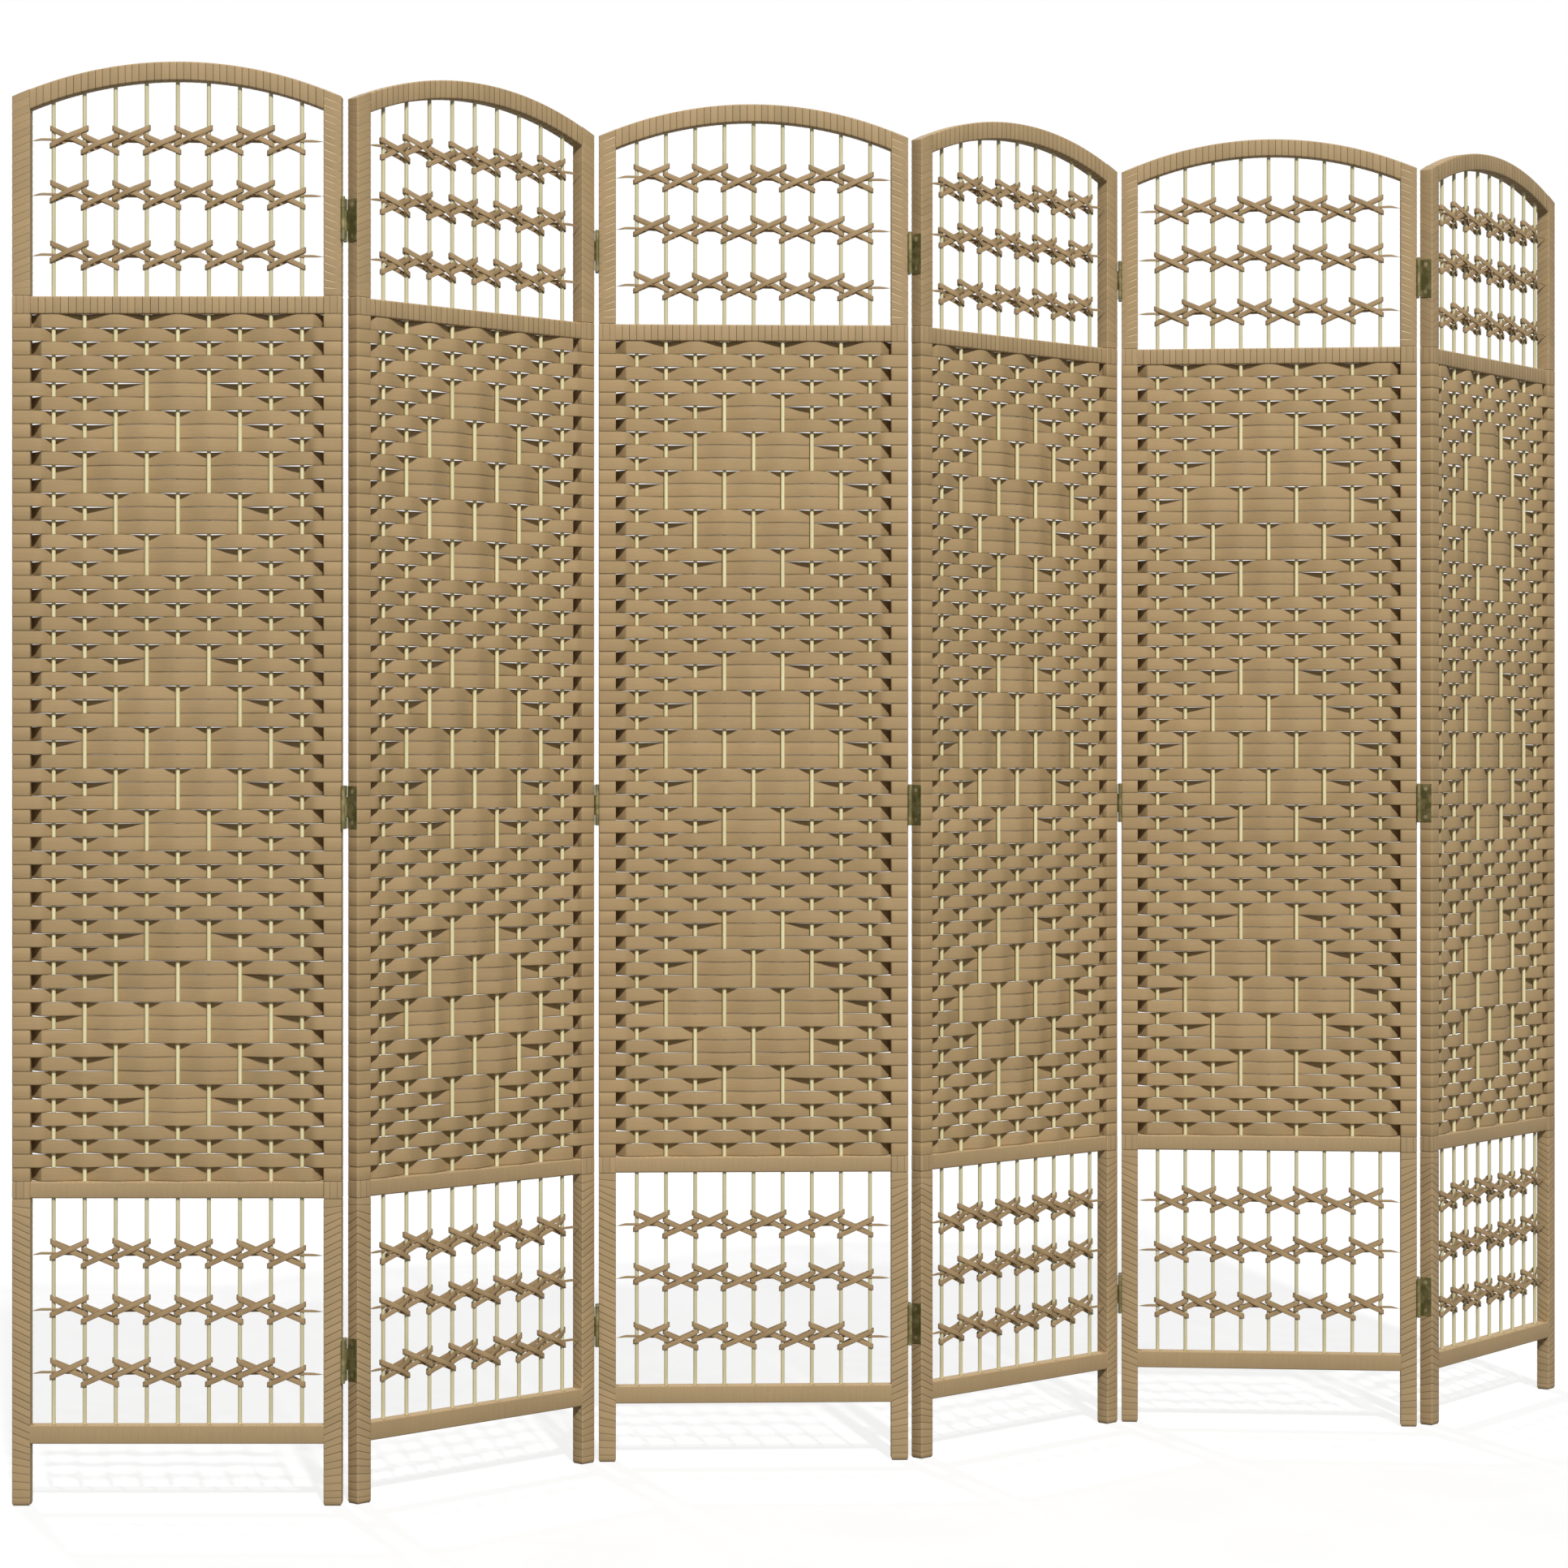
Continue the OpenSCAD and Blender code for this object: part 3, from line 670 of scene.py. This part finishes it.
def fibre_group():
    """Paper-fibre band: a tone of its own for each turn, fibres along it, painted shade in the seams with a
    painted highlight beside them where asked, and rims that are paler on the frame (wear and painted
    highlight) and darker on the strips and ties (painted shade).

    Band is the UV map, Place the object's coordinates, Edge and Lap the marks "edge" and "seam". Turn tone,
    Fibres, Seam and the rims' tone are the strengths of their tones, and Threads the fibres across a turn.
    """
    tree = bpy.data.node_groups.new("Fibre band", "ShaderNodeTree")
    for name, kind, value in (
        ("Band", "NodeSocketVector", None), ("Place", "NodeSocketVector", None), ("Edge", "NodeSocketFloat", 0),
        ("Lap", "NodeSocketFloat", 1), ("Colour", "NodeSocketColor", (0.4, 0.28, 0.15, 1)),
        ("Turn tone", "NodeSocketFloat", 0.1), ("Fibres", "NodeSocketFloat", 0.16),
        ("Threads", "NodeSocketFloat", 9), ("Seam", "NodeSocketFloat", 0.5), ("Rim wear and shading", "NodeSocketFloat", 0.15),
    ):
        socket = tree.interface.new_socket(name, in_out="INPUT", socket_type=kind)
        if value is not None:
            socket.default_value = value
    for name, kind in (
        ("Colour", "NodeSocketColor"), ("Roughness", "NodeSocketFloat"), ("Height", "NodeSocketFloat"),
    ):
        tree.interface.new_socket(name, in_out="OUTPUT", socket_type=kind)
    g = Graph(tree)
    given = g.add("NodeGroupInput").outputs
    split = g.add("ShaderNodeSeparateXYZ", {0: given["Band"]}).outputs
    along, across = split[0], split[1]
    turn = g.math("FLOOR", across)
    f = g.math("SUBTRACT", across, turn)
    own = g.add("ShaderNodeTexWhiteNoise", {"W": turn}, noise_dimensions="1D").outputs["Value"]

    # slow and small patches over the object, and coarse and fine fibres along the band
    slow = g.noise(given["Place"], 7.0, 2.0)
    spot = g.noise(given["Place"], 60.0, 3.0, 0.6)
    lane = g.product(across, given["Threads"])
    shifted = g.product(turn, 3.7)
    streak = g.noise(g.vector(g.product(along, 26.0), lane, shifted), 1.0, 3.0, 0.62)
    fine = g.noise(g.vector(g.product(along, 140.0), g.product(lane, 3.2), shifted), 1.0, 2.0, 0.6)

    # the seam: painted shade in the groove at a turn's rim, with a painted highlight, a pale ledge, beside it
    # where Lap is negative
    dark = g.ease(g.math("MINIMUM", f, g.math("SUBTRACT", 1.0, f)), 0.015, 0.07, 1.0, 0.0)
    beside = g.product(g.ease(f, 0.85, 0.91), g.math("SUBTRACT", 1.0, dark))
    painted_glint = g.math("MULTIPLY", beside, g.product(given["Lap"], -0.85), clamp=True)
    marked = g.math("ABSOLUTE", given["Lap"])

    # the tone, 0 where the band has its plain colour
    tone = g.about_half(own, g.product(given["Turn tone"], g.math("MINIMUM", marked, 1.0)))
    for part in (
        g.about_half(slow, 0.16),
        g.about_half(spot, 0.12),
        g.about_half(streak, given["Fibres"]),
        g.about_half(fine, g.product(given["Fibres"], 0.8)),
        # rims: paler from wear and painted highlight where the rim tone is above 0, darker as painted shade where
        # it is below 0
        g.product(given["Edge"], given["Rim wear and shading"]),
    ):
        tone = g.math("ADD", tone, part)
    # painted shade along the seams
    tone = g.math("SUBTRACT", tone, g.product(dark, g.product(given["Seam"], marked)))
    bright = g.math("ADD", tone, 1.0)
    browned = g.tinted(given["Colour"], (1.0, 0.93, 0.82, 1))
    warm = g.mix(g.math("MULTIPLY", g.math("SUBTRACT", spot, 0.35), 0.5, clamp=True), given["Colour"], browned)
    toned = g.tinted(warm, g.vector(bright, bright, g.math("POWER", bright, 1.12)))
    g.add("NodeGroupOutput", {
        # the pale cream of the painted highlight beside the seams
        "Colour": g.mix(painted_glint, toned, srgb(240, 216, 172)),
        "Roughness": g.ease(streak, 0.2, 0.8, 0.62, 0.78),
        "Height": g.math("ADD", g.product(streak, 0.6), g.product(fine, 0.4)),
    })
    return tree


FIBRE = fibre_group()


def fibre_material(name, colour, turn_tone, fibres, threads, seam, rim_wear_and_shading):
    """A band material: the shared fibre group into a Principled shader."""
    material, g = new_material(name)
    fibre = g.add("ShaderNodeGroup", node_tree=FIBRE)
    for key, value in (
        ("Band", g.add("ShaderNodeUVMap", uv_map="band").outputs[0]),
        ("Place", g.add("ShaderNodeTexCoord").outputs["Object"]),
        ("Edge", g.add("ShaderNodeAttribute", attribute_name="edge").outputs["Fac"]),
        ("Lap", g.add("ShaderNodeAttribute", attribute_name="seam").outputs["Fac"]),
        ("Colour", colour), ("Turn tone", turn_tone), ("Fibres", fibres), ("Threads", threads),
        ("Seam", seam), ("Rim wear and shading", rim_wear_and_shading),
    ):
        g.give(fibre.inputs[key], value)
    g.surface(Base_Color=fibre.outputs["Colour"], Roughness=fibre.outputs["Roughness"],
              Specular_IOR_Level=0.25, Normal=g.bump(fibre.outputs["Height"], 0.6, 0.0004))
    return material


def rod_material():
    """Peeled cane: fine long grain, and paler between the mid rails than where it is bare in the windows."""
    material, g = new_material("Peeled rods")
    where = g.add("ShaderNodeTexCoord").outputs["Object"]
    grain = g.noise(g.stretched(where, (900, 900, 14)), 1.0, 3.0, 0.6)
    patch = g.noise(g.stretched(where, (30, 30, 5)), 1.0, 2.0)
    colour = g.mix(g.ease(grain, 0.3, 0.75), srgb(218, 210, 170), srgb(196, 188, 144))
    colour = g.mix(g.ease(patch, 0.5, 0.8, 0.0, 0.5), colour, srgb(188, 178, 128))
    height = g.add("ShaderNodeSeparateXYZ", {0: where}).outputs[2]
    low, top = WEAVE_LOW / 1000, WEAVE_TOP / 1000
    woven = g.product(g.ease(height, low - 0.01, low), g.ease(height, top, top + 0.01, 1.0, 0.0))
    colour = g.mix(woven, colour, g.tinted(colour, (1.24, 1.24, 1.22, 1)))
    g.surface(Base_Color=colour, Roughness=g.ease(grain, 0.2, 0.8, 0.45, 0.6),
              Normal=g.bump(grain, 0.3, 0.0002))
    return material


def bronze_material(name, colour, worn, roughness):
    """Dull bronze: dark skin, lighter where it is rubbed, with fine scratches."""
    material, g = new_material(name)
    where = g.add("ShaderNodeTexCoord").outputs["Object"]
    cloud = g.noise(where, 90.0, 4.0, 0.6)
    fine = g.noise(g.stretched(where, (1500, 1500, 90)), 1.0, 2.0)
    rub = g.math("ADD", g.product(cloud, 0.75), g.product(fine, 0.25))
    g.surface(Base_Color=g.mix(g.ease(rub, 0.42, 0.66), colour, worn), Metallic=0.45,
              Roughness=g.ease(cloud, 0.3, 0.7, roughness, roughness + 0.15),
              Normal=g.bump(fine, 0.25, 0.0002))
    return material


# the last two values: seam, the painted shade in the seam grooves, and the rims' tone, above 0 on the frame for
# paler rims from wear and painted highlight, below 0 on the strips and ties for painted shade along their edges
frame_band = fibre_material("Frame band", srgb(174, 149, 111), turn_tone=0.12, fibres=0.2, threads=7.0,
                            seam=0.45, rim_wear_and_shading=0.1)
strip_band = fibre_material("Woven strips", srgb(174, 148, 108), turn_tone=0.12, fibres=0.24, threads=14.0,
                            seam=0.3, rim_wear_and_shading=-0.3)
tie_band = fibre_material("Tying band", srgb(168, 142, 105), turn_tone=0.14, fibres=0.24, threads=6.0,
                          seam=0.3, rim_wear_and_shading=-0.4)
CARRIED_OVER = {
    "rods": rod_material(),
    "leaves": bronze_material("Hinge metal", srgb(104, 98, 56), srgb(148, 136, 94), roughness=0.42),
    "pins": bronze_material("Pin metal", srgb(96, 90, 62), srgb(146, 138, 108), roughness=0.38),
    "screws": bronze_material("Screw metal", srgb(150, 134, 98), srgb(200, 184, 144), roughness=0.35),
}
CARRIED_OVER["links"] = CARRIED_OVER["leaves"]


# the pieces

for number in range(1, PANELS + 1):
    body = f"panel_{number}"
    rng = np.random.default_rng(700 + number)
    stiles, rails = frame_parts(number, rng)
    for side in ("left", "right"):
        piece(f"{body}_{side}_stile_wound", stiles[side], body, frame_band, [f"{body}_{side}_stile"])
    piece(f"{body}_rails_wound", rails, body, frame_band, [f"{body}_rails"])
    piece(f"{body}_strips", weave_parts(number, rng), body, strip_band, [f"{body}_weave"])
    piece(f"{body}_tied_bands", tie_parts(number, rng), body, tie_band, [f"{body}_ties"])

for name, node in frame["nodes"].items():
    if not node.hide_render:
        node.data.materials.clear()
        node.data.materials.append(CARRIED_OVER[name.rsplit("_", 1)[-1]])


# floor, light and camera

HALF_HEIGHT = 0.87


def background_rays(g):
    """1 for a ray that shows the white background: one from the camera, or of a gloss or a clear piece."""
    rays = g.add("ShaderNodeLightPath").outputs
    through = g.math("MAXIMUM", rays["Is Glossy Ray"], rays["Is Transmission Ray"])
    return g.math("MAXIMUM", rays["Is Camera Ray"], through)


def floor():
    """A wide pale floor. The camera sees it near white, with the object's soft shadow on it."""
    mesh = bpy.data.meshes.new("floor")
    mesh.from_pydata([(-40, -12, 0), (40, -12, 0), (40, 90, 0), (-40, 90, 0)], [], [(0, 1, 2, 3)])
    obj = bpy.data.objects.new("floor", mesh)
    bpy.context.scene.collection.objects.link(obj)
    material, g = new_material("Floor")
    plain = g.add("ShaderNodeBsdfDiffuse", {"Color": (0.16, 0.16, 0.155, 1)})
    shown = g.add("ShaderNodeBsdfDiffuse", {"Color": (0.3, 0.3, 0.3, 1)})
    glow = g.add("ShaderNodeEmission", {"Color": (1, 1, 1, 1), "Strength": 0.72})
    both = g.add("ShaderNodeAddShader", {0: shown.outputs[0], 1: glow.outputs[0]})
    mixed = g.add("ShaderNodeMixShader", {0: background_rays(g), 1: plain.outputs[0], 2: both.outputs[0]})
    g.add("ShaderNodeOutputMaterial", {"Surface": mixed.outputs[0]})
    mesh.materials.append(material)


def world(strength):
    """Even soft light, and plain white where the camera sees past the floor."""
    made = bpy.data.worlds.new("Studio")
    bpy.context.scene.world = made
    made.use_nodes = True
    made.node_tree.nodes.clear()
    g = Graph(made.node_tree)
    seen = g.ease(background_rays(g), 0.0, 1.0, strength, 1.0)
    sky = g.add("ShaderNodeBackground", {"Color": (1, 1, 1, 1), "Strength": seen})
    g.add("ShaderNodeOutputWorld", {0: sky.outputs[0]})


def sun(name, strength, elevation, azimuth, spread):
    """A lamp far off, its azimuth measured from the front to the right."""
    lamp = bpy.data.lights.new(name, "SUN")
    lamp.energy, lamp.angle = strength, math.radians(spread)
    obj = bpy.data.objects.new(name, lamp)
    obj.rotation_euler = (math.radians(90 - elevation), 0, math.radians(azimuth))
    bpy.context.scene.collection.objects.link(obj)


def lamp_near(name, power, distance, elevation, azimuth, radius):
    """A round lamp at this distance from the point at about half the screen's height over the origin, near
    enough to light the top of the screen a little more than its foot."""
    lamp = bpy.data.lights.new(name, "POINT")
    lamp.energy, lamp.shadow_soft_size = power, radius
    obj = bpy.data.objects.new(name, lamp)
    up, turn = math.radians(elevation), math.radians(azimuth)
    out = distance * math.cos(up)
    obj.location = (out * math.sin(turn), -out * math.cos(turn), HALF_HEIGHT + distance * math.sin(up))
    bpy.context.scene.collection.objects.link(obj)


floor()
world(0.22)
sun("Key", strength=2.05, elevation=40, azimuth=12, spread=2.0)
lamp_near("Near key", power=430, distance=6, elevation=40, azimuth=12, radius=0.1)
sun("Back light", strength=1.4, elevation=50, azimuth=200, spread=4.0)

# the camera fitted to the stiles' edges, the crowns and the feet in the photograph
camera = bpy.data.objects.new("Camera", bpy.data.cameras.new("Camera"))
camera.data.lens, camera.data.sensor_width = 90.55, 36
camera.data.shift_y = -0.01105
camera.data.clip_end = 300
camera.location = (-0.0856, -5.0842, 0.8699)
camera.rotation_euler = (math.radians(90), 0, 0)
bpy.context.scene.collection.objects.link(camera)
bpy.context.scene.camera = camera
bpy.context.scene.view_settings.view_transform = "Standard"
